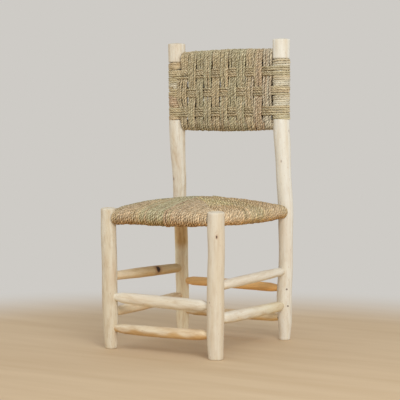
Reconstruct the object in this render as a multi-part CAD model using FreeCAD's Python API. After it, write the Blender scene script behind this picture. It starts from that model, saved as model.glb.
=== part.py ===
import FreeCAD, Part
import math
import os

# A childs chair of round peeled poles with a seat and a back of wound palm cord. Millimetres.
# The chair faces -Y, +Z is up, and the origin is on the floor under the middle of the chair.
# Left and right are as seen from in front of the chair.

Vector = FreeCAD.Vector
across = Vector(1, 0, 0)
along = Vector(0, 1, 0)
upright = Vector(0, 0, 1)

# Driving sizes of the frame
front_leg_height = 320
back_post_height = 712
front_leg_spacing = 282
back_post_spacing = 286
frame_depth = 310
frame_shift = 7            # the legs stand this far to the right, because the back leans to the left
front_left_girth = 35
front_right_girth = 38
back_post_girth = 38
pole_rim = 1.5             # the cut ends of the poles are eased by this much

# Rungs and rails
rung_girth = 22
rung_tenon_girth = 15
rung_tenon_depth = 20
rail_tenon_girth = 15
rail_tenon_depth = 21
tenon_wall = 1.2           # wood left between the tenons of two rails in one pole
tenon_clearance = 0.2
tenon_end_gap = 0.5
shoulder_gap = 0.3
shoulder_run = 5
seat_rail_girth = 20
seat_rail_end_girth = 18
seat_rail_drop = 17        # from the front legs' tops down to the front rail
side_rail_rise = 2
back_rail_girth = 31
back_rail_end_girth = 24.5
back_rail_neck_girth = 16
back_rail_neck_run = 7
top_rail_drop = 40         # from the back posts' tops down to the top rail
back_rail_gap = 155.5      # from the top rail down to the bottom rail

# Cord work
cord_girth = 5.7
cord_gap = 0.3
cord_sinking = 5.2         # the back posts are pared this deep where cord is wound on them
seat_crown = 20
seat_belly = 1
seat_edge_bulge = 3
warp_group_count = 11
warp_group_gap = 2.4
warp_thickness = 5
weft_thickness = 3.4
weft_height = 22
weft_lap = 15              # the wefts lap this far past the warps and over the posts
field_room = 3.3           # from the posts to the warps' field
weft_row_shares = {"upper": 0.78, "middle": 0.48, "lower": 0.18}   # from the bottom rail to the top rail

# Nails that pin tenons
nail_head_girth = 4.2
nail_head_thickness = 0.8
nail_shank_girth = 1.8
nail_reach = 19
nail_clearance = 0.15

pole_flat_count = 20            # the drawknife leaves this many long flats round a pole
member_flat_count = 16
nail_flat_count = 8
edge_flat_count = 8             # flats round a turn of the cord work
crown_flat_count = 6
barrel_shares = [1, 0.6, 0.2]   # stations of a barrel, from an end towards its crown
slab_shares = [(-1, -2), (-0.6, -0.1), (0, 1), (0.6, -0.1), (1, -2)]   # the seat's fullness along a rail
overrun = 3                # how far cutting tools run past what they cut

# Each pole's stations from its foot up: share of its height, share of its girth,
# and how far its middle has strayed to the right, as a share of its girth.
front_left_shares = [
    (0, 0.77, 0.10), (0.035, 0.845, 0.08), (0.09, 0.90, 0.05), (0.20, 1.03, 0.05),
    (0.50, 0.995, 0.0), (0.80, 1.01, -0.06), (1, 0.97, -0.09)]
front_right_shares = [
    (0, 0.85, -0.04), (0.035, 0.90, -0.06), (0.09, 0.95, -0.08), (0.20, 0.985, -0.08), (0.30, 1.0, -0.07),
    (0.58, 0.97, -0.04), (0.75, 0.955, -0.04), (0.88, 0.995, -0.05), (1, 0.95, -0.04)]
back_left_shares = [
    (0, 0.73, 0.13), (0.02, 0.78, 0.13), (0.05, 0.84, 0.13), (0.20, 0.86, 0.08), (0.35, 0.85, 0.02),
    (0.48, 0.85, -0.11), (0.58, 0.92, -0.165), (0.70, 1.05, -0.275), (0.85, 1.10, -0.30), (1, 1.12, -0.315)]
back_right_shares = [
    (0, 0.68, 0.10), (0.02, 0.72, 0.13), (0.05, 0.82, 0.15), (0.075, 0.88, 0.13), (0.13, 0.94, 0.10),
    (0.20, 0.91, 0.115), (0.26, 0.88, 0.18), (0.31, 0.84, 0.20), (0.36, 0.89, 0.18), (0.46, 0.96, 0.13),
    (0.58, 0.94, -0.01), (0.65, 1.03, -0.09), (0.70, 1.01, -0.16), (0.85, 1.04, -0.18), (1, 1.09, -0.19)]


def flats(centre, radius, count, first, second):
    """A round drawn as shaved flats: corners at a radius, in the plane of two directions."""
    angles = [2 * math.pi * (corner + 0.5) / count for corner in range(count)]
    return [centre + first * (radius * math.cos(a)) + second * (radius * math.sin(a)) for a in angles]


def closed(corners):
    """The closed outline through a list of corners."""
    return Part.makePolygon(corners + corners[:1])


def flat_sided(rings):
    """A solid with flat faces from ring to ring, and a flat face over the first and the last."""
    faces = [Part.Face(closed(rings[0])), Part.Face(closed(rings[-1]))]
    for low, high in zip(rings, rings[1:]):
        for here in range(len(low)):
            faces.append(Part.Face(closed([low[here - 1], low[here], high[here], high[here - 1]])))
    solid = Part.Solid(Part.Shell(faces))
    return solid if solid.Volume > 0 else solid.reversed()


class Pole:
    """A standing pole: straight runs between its stations, with its two cut ends eased."""

    def __init__(self, foot_x, foot_y, height, girth, station_shares):
        self.stations = [
            (level * height, Vector(foot_x + stray * girth, foot_y, level * height), thickness * girth / 2)
            for level, thickness, stray in station_shares]
        body = self.rings(0, pole_rim, height - pole_rim)
        self.solid = flat_sided([self.ring(0, -pole_rim)] + body + [self.ring(height, -pole_rim)])

    def section(self, level):
        """The middle and the radius of the pole at a height, between its two nearest stations."""
        for low, high in zip(self.stations, self.stations[1:]):
            if level <= high[0]:
                break
        share = (level - low[0]) / (high[0] - low[0])
        return low[1] + (high[1] - low[1]) * share, low[2] + (high[2] - low[2]) * share

    def middle(self, level):
        return self.section(level)[0]

    def radius(self, level):
        return self.section(level)[1]

    def ring(self, level, swell):
        """The pole's outline at a height, moved out by swell."""
        return flats(self.middle(level), self.radius(level) + swell, pole_flat_count, across, along)

    def rings(self, swell, low, high):
        """The outlines from one height to another, one at each station between them."""
        between = [station[0] for station in self.stations if low < station[0] < high]
        return [self.ring(level, swell) for level in [low] + between + [high]]

    def sleeve(self, swell, low, high):
        """The pole's solid between two heights, thickened by swell."""
        return flat_sided(self.rings(swell, low, high))

    def cut(self, tool):
        self.solid = self.solid.cut(tool)


def half_barrel(end, crown):
    """Stations from a barrel's end to its crown, on a parabola."""
    return [
        (crown[0] + (end[0] - crown[0]) * share, crown[1] + (end[1] - crown[1]) * share ** 2)
        for share in barrel_shares]


class Member:
    """A rung or rail between two poles: a barrel shaped body with a tenon at each end."""

    def __init__(self, start_pole, start_height, end_pole, end_height, girths, tenon_girth, tenon_depth=None):
        self.start = start_pole.middle(start_height)
        self.end = end_pole.middle(end_height)
        self.poles = (start_pole, end_pole)
        self.heights = (start_height, end_height)
        run = self.end - self.start
        self.length = run.Length
        self.direction = run.normalize()
        self.girths = girths
        self.tenon_girth = tenon_girth
        self.start_reach = start_pole.radius(start_height)
        self.end_reach = end_pole.radius(end_height)
        beside_tenon = tenon_girth / 2 + tenon_clearance + tenon_end_gap + tenon_wall
        self.start_tenon = tenon_depth or self.start_reach - beside_tenon
        self.end_tenon = tenon_depth or self.end_reach - beside_tenon
        self.solid = self.shape(0)

    def profile(self, swell):
        """Half the section through the axis, from the start pole's middle, thickened by swell."""
        near = self.start_reach + shoulder_gap
        far = self.length - self.end_reach - shoulder_gap
        half_start, half_middle, half_end = (g / 2 + swell for g in self.girths)
        half_tenon = self.tenon_girth / 2 + swell
        first = self.start_reach - self.start_tenon
        last = self.length - self.end_reach + self.end_tenon
        left_end = (near + shoulder_run, half_start)
        right_end = (far - shoulder_run, half_end)
        crown = ((near + far) / 2, half_middle)
        tail = [(first, half_tenon), (near, half_tenon)]
        head = [(far, half_tenon), (last, half_tenon)]
        return tail, left_end, crown, right_end, head

    def placed(self, stations):
        """A flat sided solid on the line between the poles, from places along it and radii."""
        rings = [flats(Vector(x, 0, 0), r, member_flat_count, along, upright) for x, r in stations]
        solid = flat_sided(rings)
        solid.Placement = FreeCAD.Placement(self.start, FreeCAD.Rotation(across, self.direction))
        return solid

    def shape(self, swell):
        """The member's solid, thickened by swell."""
        tail, left_end, crown, right_end, head = self.profile(swell)
        return self.placed(tail + half_barrel(left_end, crown) + half_barrel(right_end, crown)[::-1] + head)

    def mortises(self):
        """The two holes for the tenons, each open towards the member."""
        half_hole = self.tenon_girth / 2 + tenon_clearance
        start_face = self.start_reach
        end_face = self.length - self.end_reach
        near = [start_face - self.start_tenon - tenon_end_gap, start_face + overrun]
        far = [end_face - overrun, end_face + self.end_tenon + tenon_end_gap]
        return [self.placed([(x, half_hole) for x in span]) for span in (near, far)]

    def cut_mortises(self):
        for pole, hole in zip(self.poles, self.mortises()):
            pole.cut(hole)


# The four poles
half_depth = frame_depth / 2
front_leg_left = Pole(frame_shift - front_leg_spacing / 2, -half_depth, front_leg_height,
                      front_left_girth, front_left_shares)
front_leg_right = Pole(frame_shift + front_leg_spacing / 2, -half_depth, front_leg_height,
                       front_right_girth, front_right_shares)
back_post_left = Pole(frame_shift - back_post_spacing / 2, half_depth, back_post_height,
                      back_post_girth, back_left_shares)
back_post_right = Pole(frame_shift + back_post_spacing / 2, half_depth, back_post_height,
                       back_post_girth, back_right_shares)
poles = {"front_leg_left": front_leg_left, "front_leg_right": front_leg_right,
         "back_post_left": back_post_left, "back_post_right": back_post_right}

# Where each rung sits: its poles and its heights as shares of the front legs' height,
# then its girth at the start, the middle and the end as shares of the rungs' girth
rung_shares = {
    "rung_front_upper": (front_leg_left, 0.371, front_leg_right, 0.358, (1.03, 1.27, 1.1)),
    "rung_front_lower": (front_leg_left, 0.147, front_leg_right, 0.161, (0.95, 1.1, 1.02)),
    "rung_right_upper": (front_leg_right, 0.495, back_post_right, 0.515, (0.95, 1.0, 0.91)),
    "rung_right_lower": (front_leg_right, 0.271, back_post_right, 0.257, (1.1, 1.14, 1.0)),
    "rung_left_upper": (front_leg_left, 0.513, back_post_left, 0.49, (0.91, 1.1, 1.0)),
    "rung_left_lower": (front_leg_left, 0.255, back_post_left, 0.275, (0.95, 1.09, 0.95)),
    "rung_back_upper": (back_post_left, 0.39, back_post_right, 0.382, (0.95, 1.02, 0.95)),
    "rung_back_lower": (back_post_left, 0.158, back_post_right, 0.164, (0.91, 1.0, 0.91))}
members = {}
for name, (start_pole, start_share, end_pole, end_share, girth_shares) in rung_shares.items():
    members[name] = Member(start_pole, start_share * front_leg_height, end_pole, end_share * front_leg_height,
                           [share * rung_girth for share in girth_shares], rung_tenon_girth, rung_tenon_depth)

# The seat's four rails, which the cord hides. The side rails' tenons stop short of the others'.
front_rail_height = front_leg_height - seat_rail_drop
side_rail_height = front_rail_height + side_rail_rise
seat_girths = (seat_rail_end_girth, seat_rail_girth, seat_rail_end_girth)
members["seat_rail_front"] = Member(front_leg_left, front_rail_height, front_leg_right, front_rail_height,
                                    seat_girths, rail_tenon_girth, rail_tenon_depth)
members["seat_rail_back"] = Member(back_post_left, front_rail_height, back_post_right, front_rail_height,
                                   seat_girths, rail_tenon_girth, rail_tenon_depth)
members["seat_rail_left"] = Member(front_leg_left, side_rail_height, back_post_left, side_rail_height,
                                   seat_girths, rail_tenon_girth)
members["seat_rail_right"] = Member(front_leg_right, side_rail_height, back_post_right, side_rail_height,
                                    seat_girths, rail_tenon_girth)


class NeckedRail(Member):
    """A rail of the back: it starts slim beside the post, clear of the cord that is wound there."""

    def profile(self, swell):
        near = self.start_reach + back_rail_neck_run
        far = self.length - self.end_reach - back_rail_neck_run
        half_neck = back_rail_neck_girth / 2 + swell
        first = self.start_reach - self.start_tenon
        last = self.length - self.end_reach + self.end_tenon
        left_end = (near + shoulder_run, self.girths[0] / 2 + swell)
        right_end = (far - shoulder_run, self.girths[2] / 2 + swell)
        crown = ((near + far) / 2, self.girths[1] / 2 + swell)
        tail = [(first, half_neck), (near, half_neck)]
        head = [(far, half_neck), (last, half_neck)]
        return tail, left_end, crown, right_end, head


top_rail_height = back_post_height - top_rail_drop
bottom_rail_height = top_rail_height - back_rail_gap
back_girths = (back_rail_end_girth, back_rail_girth, back_rail_end_girth)
top_rail = NeckedRail(back_post_left, top_rail_height, back_post_right, top_rail_height,
                      back_girths, back_rail_neck_girth, rail_tenon_depth)
bottom_rail = NeckedRail(back_post_left, bottom_rail_height, back_post_right, bottom_rail_height,
                         back_girths, back_rail_neck_girth, rail_tenon_depth)
members["back_rail_top"] = top_rail
members["back_rail_bottom"] = bottom_rail

for member in members.values():
    member.cut_mortises()


def turn(centre, radius, first_angle):
    """Corners of a half turn of cord round a rail: depth and height."""
    angles = [first_angle + math.pi * corner / edge_flat_count for corner in range(edge_flat_count + 1)]
    return [(centre[0] + radius * math.cos(a), centre[1] + radius * math.sin(a)) for a in angles]


def slab_outline(span, radius):
    """Half circles at the two rails, joined by a crowned top and a bellied underside."""
    half = span / 2
    near = turn((-half, 0), radius, math.pi / 2)
    far = turn((half, 0), radius, -math.pi / 2)
    between = [2 * corner / crown_flat_count - 1 for corner in range(1, crown_flat_count)]
    under = [(half * share, -radius - seat_belly * (1 - share ** 2)) for share in between]
    over = [(-half * share, radius + seat_crown * (1 - share ** 2)) for share in between]
    return near + under + far + over


def crowned_slab(start, end, half_width, direction):
    """A pad round two rails that is fullest at the middle of the rails and slimmer at their ends."""
    slim = seat_rail_girth / 2 + cord_gap + cord_girth
    run = end - start
    middle = (start + end) * 0.5
    side = Vector(run).normalize()
    rings = []
    for place, fullness in slab_shares:
        outline = slab_outline(run.Length, slim + seat_edge_bulge * fullness)
        rings.append([middle + direction * (place * half_width) + side * depth + upright * height
                      for depth, height in outline])
    return flat_sided(rings)


def mid_point(member):
    return (member.start + member.end) * 0.5


# The seat: cord wound round the four rails, over and under each in turn. Its top and bottom are four
# triangles that meet on the diagonals, so it is the common part of two crowned slabs.
front_rail = members["seat_rail_front"]
back_rail = members["seat_rail_back"]
left_rail = members["seat_rail_left"]
right_rail = members["seat_rail_right"]
seat_reach = 2 * seat_rail_girth + overrun
front_back_slab = crowned_slab(mid_point(front_rail), mid_point(back_rail),
                               front_leg_spacing / 2 + seat_reach, across)
left_right_slab = crowned_slab(mid_point(left_rail), mid_point(right_rail),
                               frame_depth / 2 + seat_reach, along)
seat_weave = front_back_slab.common(left_right_slab)
for pole in poles.values():
    post = pole.middle(front_rail_height)
    side = math.copysign(1, post.x - frame_shift)
    face = math.copysign(1, post.y)
    seat_levels = (front_rail_height - seat_rail_girth, front_leg_height)
    inner_x = min(side * pole.middle(z).x - pole.radius(z) for z in seat_levels) - cord_gap
    inner_y = min(face * pole.middle(z).y - pole.radius(z) for z in seat_levels) - cord_gap
    corner = Vector(side * (inner_x + seat_reach), face * (inner_y + seat_reach), 0)
    inner = Vector(side * inner_x, face * inner_y, 0)
    low_corner = Vector(min(inner.x, corner.x), min(inner.y, corner.y), front_rail_height - seat_reach)
    notch = Part.makeBox(seat_reach, seat_reach, 2 * seat_reach, low_corner)
    seat_weave = seat_weave.cut(notch)
for rail in (front_rail, back_rail, left_rail, right_rail):
    seat_weave = seat_weave.cut(rail.shape(cord_gap))
seat_weave = max(seat_weave.Solids, key=lambda s: s.Volume)

# The back: cord wound round both rails in groups, the warps, and round both posts in rows, the wefts,
# which pass over one group and under the next.
weft_rows = {row: bottom_rail_height + share * back_rail_gap for row, share in weft_row_shares.items()}
wrap_margin = back_rail_neck_girth / 2 + tenon_clearance + tenon_wall + cord_gap
wrap_low_height = bottom_rail_height + wrap_margin
wrap_high_height = top_rail_height - wrap_margin
cord_proudness = cord_girth - cord_sinking
middle_height = (top_rail_height + bottom_rail_height) / 2
field_left = back_post_left.middle(middle_height).x + back_post_left.radius(middle_height)
field_right = back_post_right.middle(middle_height).x - back_post_right.radius(middle_height)
field_middle = (field_left + field_right) / 2
field_width = field_right - field_left - 2 * field_room
group_pitch = field_width / warp_group_count
warp_group_width = group_pitch - warp_group_gap
weave_step = ((warp_thickness + weft_thickness) / 2 + cord_gap) / 2


def group_place(group):
    """The middle of a warp group, counted from the left."""
    return field_middle + (group - (warp_group_count - 1) / 2) * group_pitch


def rail_radius(x):
    """Half the thickness of a back rail at a place along it, by its barrel's parabola."""
    open_run = top_rail.length - top_rail.start_reach - top_rail.end_reach
    half_run = open_run / 2 - back_rail_neck_run - shoulder_run
    slimming = (back_rail_girth - back_rail_end_girth) / 2
    return back_rail_girth / 2 - slimming * ((x - field_middle) / half_run) ** 2


def group_depth(group):
    """How far the middle of a warp group's front run stands from the plane of the rails."""
    inner_edge = max(abs(group_place(group) - field_middle) - warp_group_width / 2, 0)
    return rail_radius(field_middle + inner_edge) + cord_gap + warp_thickness / 2


def weft_over(row, group):
    """Whether a weft row passes over a warp group: the middle row takes the groups that the others leave."""
    return (group % 2 == 0) != (row == "middle")


def run_steps(group, offset):
    """One upright run of a warp group from top to bottom: depth and height, bent round the wefts."""
    depth = group_depth(group) + offset
    reach = weft_height / 2 + cord_gap
    steps = []
    for row, level in weft_rows.items():
        bend = -weave_step if weft_over(row, group) else weave_step
        steps += [(depth + bend, level + reach), (depth + bend, level - reach)]
    return steps


def loop_wire(group, offset):
    """The closed outline of a warp loop, offset from its middle line by half its thickness."""
    front = run_steps(group, offset)
    radius = group_depth(group) + offset
    below = turn((0, bottom_rail_height), radius, math.pi)
    above = turn((0, top_rail_height), radius, 0)
    outline = [(-depth, height) for depth, height in front] + below + front[::-1] + above
    return closed([Vector(0, half_depth + y, z) for y, z in outline])


def warp_loop(group):
    """A warp group as one flat band that goes round both rails."""
    half = warp_thickness / 2
    band = Part.Face(loop_wire(group, half)).cut(Part.Face(loop_wire(group, -half)))
    band.translate(across * (group_place(group) - warp_group_width / 2))
    return band.Faces[0].extrude(across * warp_group_width)


def weft_edge(row, offset, reach):
    """One edge of a weft row in plan: it crosses from over to under in the gaps between groups."""
    points = []
    for group in range(warp_group_count):
        depth = group_depth(group) + (weave_step if weft_over(row, group) else -weave_step) + offset
        place = group_place(group)
        points += [(place - warp_group_width / 2, depth), (place + warp_group_width / 2, depth)]
    points[0] = (field_middle - reach, points[0][1])
    points[-1] = (field_middle + reach, points[-1][1])
    return points


def weft_band(row, side, wraps):
    """One row of wefts before or behind the rails, ending at the cord on the posts."""
    reach = field_width / 2 + weft_lap
    half = weft_thickness / 2
    outline = weft_edge(row, half, reach) + list(reversed(weft_edge(row, -half, reach)))
    level = weft_rows[row] - weft_height / 2
    corners = [Vector(x, half_depth - side * depth, level) for x, depth in outline]
    band = Part.Face(closed(corners)).extrude(upright * weft_height)
    for wrap in wraps:
        band = band.cut(wrap)
    return max(band.Solids, key=lambda s: s.Volume)


def pare(pole):
    """Cuts the shallow groove that the cord on a post is wound in."""
    span = (wrap_low_height - cord_gap, wrap_high_height + cord_gap)
    pole.cut(pole.sleeve(overrun, *span).cut(pole.sleeve(-cord_sinking, *span)))


def post_wrap(pole):
    """The cord wound round a post between the rails, as a sleeve in the groove."""
    outside = pole.sleeve(cord_proudness, wrap_low_height, wrap_high_height)
    return outside.cut(pole.sleeve(cord_gap - cord_sinking, wrap_low_height, wrap_high_height))


back_posts = (back_post_left, back_post_right)
for pole in back_posts:
    pare(pole)
weave_clearings = [
    pole.sleeve(cord_proudness + cord_gap, wrap_low_height, wrap_high_height) for pole in back_posts]
back_warps = Part.makeCompound([warp_loop(group) for group in range(warp_group_count)])
back_wefts = Part.makeCompound([
    weft_band(row, side, weave_clearings) for row in weft_rows for side in (1, -1)])


# Nails: which pole, which rung's tenon it pins, and the way its head faces in degrees from +X
nail_facings = [
    (back_post_right, "rung_back_upper", -47),
    (back_post_right, "rung_right_lower", -37),
    (back_post_right, "rung_back_lower", -140)]


def nail(pole, level, facing, clearance):
    """A nail driven level into a pole, or its hole when it has a clearance."""
    out = Vector(math.cos(math.radians(facing)), math.sin(math.radians(facing)), 0)
    beside = out.cross(upright)
    surface = pole.middle(level) + out * (pole.radius(level) + nail_clearance)
    shank_corners = flats(surface, nail_shank_girth / 2 + clearance, nail_flat_count, beside, upright)
    shank = Part.Face(closed(shank_corners)).extrude(out * -nail_reach)
    if clearance:
        return shank
    head_corners = flats(surface, nail_head_girth / 2, nail_flat_count, beside, upright)
    return shank.fuse(Part.Face(closed(head_corners)).extrude(out * nail_head_thickness))


nails = []
for pole, member_name, facing in nail_facings:
    member = members[member_name]
    level = member.heights[member.poles.index(pole)]
    hole = nail(pole, level, facing, nail_clearance)
    pole.cut(hole)
    member.solid = member.solid.cut(hole)
    nails.append(nail(pole, level, facing, 0))

nodes = {name: pole.solid for name, pole in poles.items()}
nodes.update({name: member.solid for name, member in members.items()})
nodes["seat_weave"] = seat_weave
nodes["back_warps"] = back_warps
nodes["back_wefts"] = back_wefts
nodes["post_wrap_left"] = post_wrap(back_post_left)
nodes["post_wrap_right"] = post_wrap(back_post_right)
nodes["tenon_nails"] = Part.makeCompound(nails)

os.makedirs("parts", exist_ok=True)
for name, shape in nodes.items():
    shape.exportStep(os.path.join("parts", name + ".step"))
    print(name, len(shape.Solids), "solids", round(shape.Volume / 1000, 1), "cm3", shape.isValid())
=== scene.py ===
import math

import bpy
import numpy as np
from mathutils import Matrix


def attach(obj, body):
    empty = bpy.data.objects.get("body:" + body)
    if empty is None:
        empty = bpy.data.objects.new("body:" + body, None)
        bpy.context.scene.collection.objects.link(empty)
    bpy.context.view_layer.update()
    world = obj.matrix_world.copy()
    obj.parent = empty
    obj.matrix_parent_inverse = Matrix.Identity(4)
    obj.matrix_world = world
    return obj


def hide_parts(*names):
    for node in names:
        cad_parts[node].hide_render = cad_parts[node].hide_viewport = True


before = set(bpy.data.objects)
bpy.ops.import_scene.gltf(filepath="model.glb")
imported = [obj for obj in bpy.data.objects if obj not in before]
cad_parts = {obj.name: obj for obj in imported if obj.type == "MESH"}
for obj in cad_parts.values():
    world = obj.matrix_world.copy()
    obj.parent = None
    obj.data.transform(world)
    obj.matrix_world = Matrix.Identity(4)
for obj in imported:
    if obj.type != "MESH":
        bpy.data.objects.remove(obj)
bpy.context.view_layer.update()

print("frame loaded:", len(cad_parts), "nodes")

# Everything is worked out in millimetres, in the frame's own axes, and put into the meshes in metres.
metre = 0.001
fullTurn = 2 * np.pi


def toLinear(colour):
    # A colour of 0 to 255 per channel, as a screen shows it, turned into the light values that shaders use
    share = np.asarray(colour, float) / 255
    return np.where(share <= 0.04045, share / 12.92, ((share + 0.055) / 1.055) ** 2.4)


def rgba(colour):
    # The same light values with full cover, as a shader's colour socket takes them
    return (*[float(channel) for channel in toLinear(colour)], 1.0)


def wander(places, wavelengths, seed):
    # Sum of one sine for each wavelength, each with its own seeded phase, kept near -1 to 1
    phases = np.random.default_rng(seed).uniform(0, fullTurn, len(wavelengths))
    waves = [np.sin(fullTurn * places / length + phase) for length, phase in zip(wavelengths, phases)]
    return sum(waves) / len(wavelengths) ** 0.5


def easeBetween(places, low, high):
    # 0 below low, 1 above high, and a cubic that starts and ends level between them
    share = np.clip((places - low) / (high - low), 0, 1)
    return share * share * (3 - 2 * share)


def unit(vectors):
    # Each vector divided by its own length
    return vectors / np.linalg.norm(vectors, axis=-1, keepdims=True)


def readOff(places, stops, table):
    # Each column of a table, along straight lines between its stops
    return np.stack([np.interp(places, stops, column) for column in np.asarray(table, float).T], axis=-1)


def seedFor(seeds, *counts):
    # The first seed, and one step on for each count
    return seeds[0] + sum(step * count for step, count in zip(seeds[1:], counts))


def drawnIn(share, tuck):
    # 1 less how far the two ends of a cord are drawn in, over the last and the first share of it
    last, first, drawn = tuck
    return 1 - drawn * (easeBetween(share, last, 1.0) + 1 - easeBetween(share, 0.0, first))


def anglesRound(count):
    # Evenly spaced round a circle
    return np.arange(count) * fullTurn / count


def ringsRound(middle, radius, angle, first, second):
    # A section round each place of a line: the radius times the angle's cosine in one direction and its
    # sine in the other, from the line's middle
    way = np.cos(angle)[..., None] * first + np.sin(angle)[..., None] * second
    return middle[:, None] + radius[..., None] * way


def addObject(name, data):
    # An object at the origin, unturned, in the scene's own collection
    made = bpy.data.objects.new(name, data)
    bpy.context.scene.collection.objects.link(made)
    return made


class Skin:
    # Gathers closed tubes into one mesh, with the "place" and "tint" that its material reads. A tint is
    # three shares of light and how boldly the pattern shows; on the sticks and the seat it also carries
    # painted light and shade.
    def __init__(self):
        self.points, self.places, self.tints = [], [], []
        self.quads, self.corners = [], []
        self.count = 0

    def addTube(self, rings, across, along, tints):
        # rings is sections by points round each; a place is the two arrays across and then the one along;
        # quads join neighbours and a fan closes each end
        sections, around = rings.shape[:2]
        places = np.stack(np.broadcast_arrays(*across, along[:, None]), axis=-1)
        tints = np.broadcast_to(tints, (sections, around, 4))
        index = self.count + np.arange(sections * around).reshape(sections, around)
        beside = np.roll(index, -1, axis=1)
        self.quads.append(np.stack([index[:-1], beside[:-1], beside[1:], index[1:]], -1).reshape(-1, 4))
        first = np.full(around, self.count + sections * around)
        self.corners.append(np.stack([first, beside[0], index[0]], -1))
        self.corners.append(np.stack([first + 1, index[-1], beside[-1]], -1))
        for kept, array in ((self.points, rings), (self.places, places), (self.tints, tints)):
            kept.append(array.reshape(-1, array.shape[-1]))
            kept.append(np.stack([array[0].mean(0), array[-1].mean(0)]))
        self.count += sections * around + 2

    def piece(self, name, finish, slot, *nodes):
        # Puts the gathered arrays into an object that rides on the chair's one body and stands for its nodes
        points = np.concatenate(self.points) * metre
        quads, corners = np.concatenate(self.quads), np.concatenate(self.corners)
        loops = np.concatenate([quads.ravel(), corners.ravel()])
        starts = np.concatenate([np.arange(len(quads)) * 4, len(quads) * 4 + np.arange(len(corners)) * 3])
        mesh = bpy.data.meshes.new(name)
        mesh.vertices.add(len(points))
        mesh.vertices.foreach_set("co", points.astype(np.float32).ravel())
        mesh.loops.add(len(loops))
        mesh.loops.foreach_set("vertex_index", loops.astype(np.int32))
        mesh.polygons.add(len(starts))
        mesh.polygons.foreach_set("loop_start", starts.astype(np.int32))
        mesh.update(calc_edges=True)
        mesh.polygons.foreach_set("use_smooth", np.ones(len(starts), bool))
        for label, kind, key, kept in (("place", "FLOAT_VECTOR", "vector", self.places),
                                       ("tint", "FLOAT_COLOR", "color", self.tints)):
            data = mesh.attributes.new(label, kind, "POINT").data
            data.foreach_set(key, np.concatenate(kept).astype(np.float32).ravel())
        mesh.validate()
        mesh.materials.append(finish)
        made = addObject(name, mesh)
        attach(made, "root")
        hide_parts(*nodes)
        print("made", name, "with", 2 * len(quads) + len(corners), "triangles")


def operator(operation, turned=False):
    # A method that adds one Math node; its two sides are turned round for the reflected form
    return lambda wire, other: wire.math(operation, *((other, wire) if turned else (wire, other)))


class Wire:
    # A shader socket that takes Python's arithmetic
    def __init__(self, sheet, socket):
        self.sheet, self.socket = sheet, socket

    def math(self, operation, first, second):
        # One Math node
        return self.sheet.node("ShaderNodeMath", {"operation": operation}, {0: first, 1: second})

    __add__, __radd__ = operator("ADD"), operator("ADD", True)
    __sub__, __rsub__ = operator("SUBTRACT"), operator("SUBTRACT", True)
    __mul__, __rmul__ = operator("MULTIPLY"), operator("MULTIPLY", True)
    most = operator("MAXIMUM")

    def within(self, low, high):
        # 0 at low and 1 at high, cut off outside them
        inputs = {"Value": self, "From Min": low, "From Max": high}
        return self.sheet.node("ShaderNodeMapRange", {"clamp": True}, inputs)


class Sheet:
    # The nodes of one material, or of the world
    def __init__(self, owner, end="ShaderNodeOutputMaterial"):
        owner.use_nodes = True
        self.owner = owner
        self.nodes, self.links = owner.node_tree.nodes, owner.node_tree.links
        self.nodes.clear()
        self.end = self.nodes.new(end)

    def node(self, kind, settings, inputs, output=0):
        # Any node: its type, its settings, which are set first, and values or wires for its sockets
        made = self.nodes.new(kind)
        for key, value in settings.items():
            setattr(made, key, value)
        for key, value in inputs.items():
            if isinstance(value, Wire):
                self.links.new(value.socket, made.inputs[key])
            else:
                made.inputs[key].default_value = value
        return Wire(self, made.outputs[output])

    def blend(self, share, first, second, how="MIX"):
        # The first colour where the share is 0 and the second where it is 1
        settings = {"data_type": "RGBA", "blend_type": how}
        return self.node("ShaderNodeMix", settings, {0: share, 6: first, 7: second}, 2)

    def vector(self, operation, first, second, output=0):
        # One Vector Math node, whose second output is a number
        return self.node("ShaderNodeVectorMath", {"operation": operation}, {0: first, 1: second}, output)

    def noise(self, vector, scale, detail=3.0, roughness=0.55):
        # Noise of a place, 0.5 on average
        inputs = {"Vector": vector, "Scale": scale, "Detail": detail, "Roughness": roughness}
        return self.node("ShaderNodeTexNoise", {}, inputs)

    def pattern(self, place, drawn, *noise):
        # Noise that is drawn out along the third axis
        return self.noise(self.vector("MULTIPLY", place, (1.0, 1.0, drawn)), *noise)

    def attribute(self, name, output):
        # What a piece's own mesh says at each point
        return self.node("ShaderNodeAttribute", {"attribute_name": name}, {}, output)

    def here(self):
        # The place in the object, in metres
        return self.node("ShaderNodeTexCoord", {}, {}, "Object")

    def show(self, shader):
        # Joins the shader to the output, and gives back the material or world
        self.links.new(shader.socket, self.end.inputs["Surface"])
        return self.owner

    def skin(self, colour, roughness, bump=None, constants=None):
        # A Principled shader; a bump is its height, strength and distance
        inputs = {"Base Color": colour, "Roughness": roughness, **(constants or {})}
        if bump:
            bumpInputs = dict(zip(("Height", "Strength", "Distance"), bump))
            inputs["Normal"] = self.node("ShaderNodeBump", {}, bumpInputs)
        return self.node("ShaderNodeBsdfPrincipled", {}, inputs)


def newSheet(name):
    # A new material's nodes
    return Sheet(bpy.data.materials.new(name))


def ownSheet(name):
    # A new material, and what its piece's attributes say: the place, the tint and how bold the pattern is
    sheet = newSheet(name)
    tint, bold = (sheet.attribute("tint", output) for output in ("Color", "Alpha"))
    return sheet, sheet.attribute("place", "Vector"), tint, bold


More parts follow.
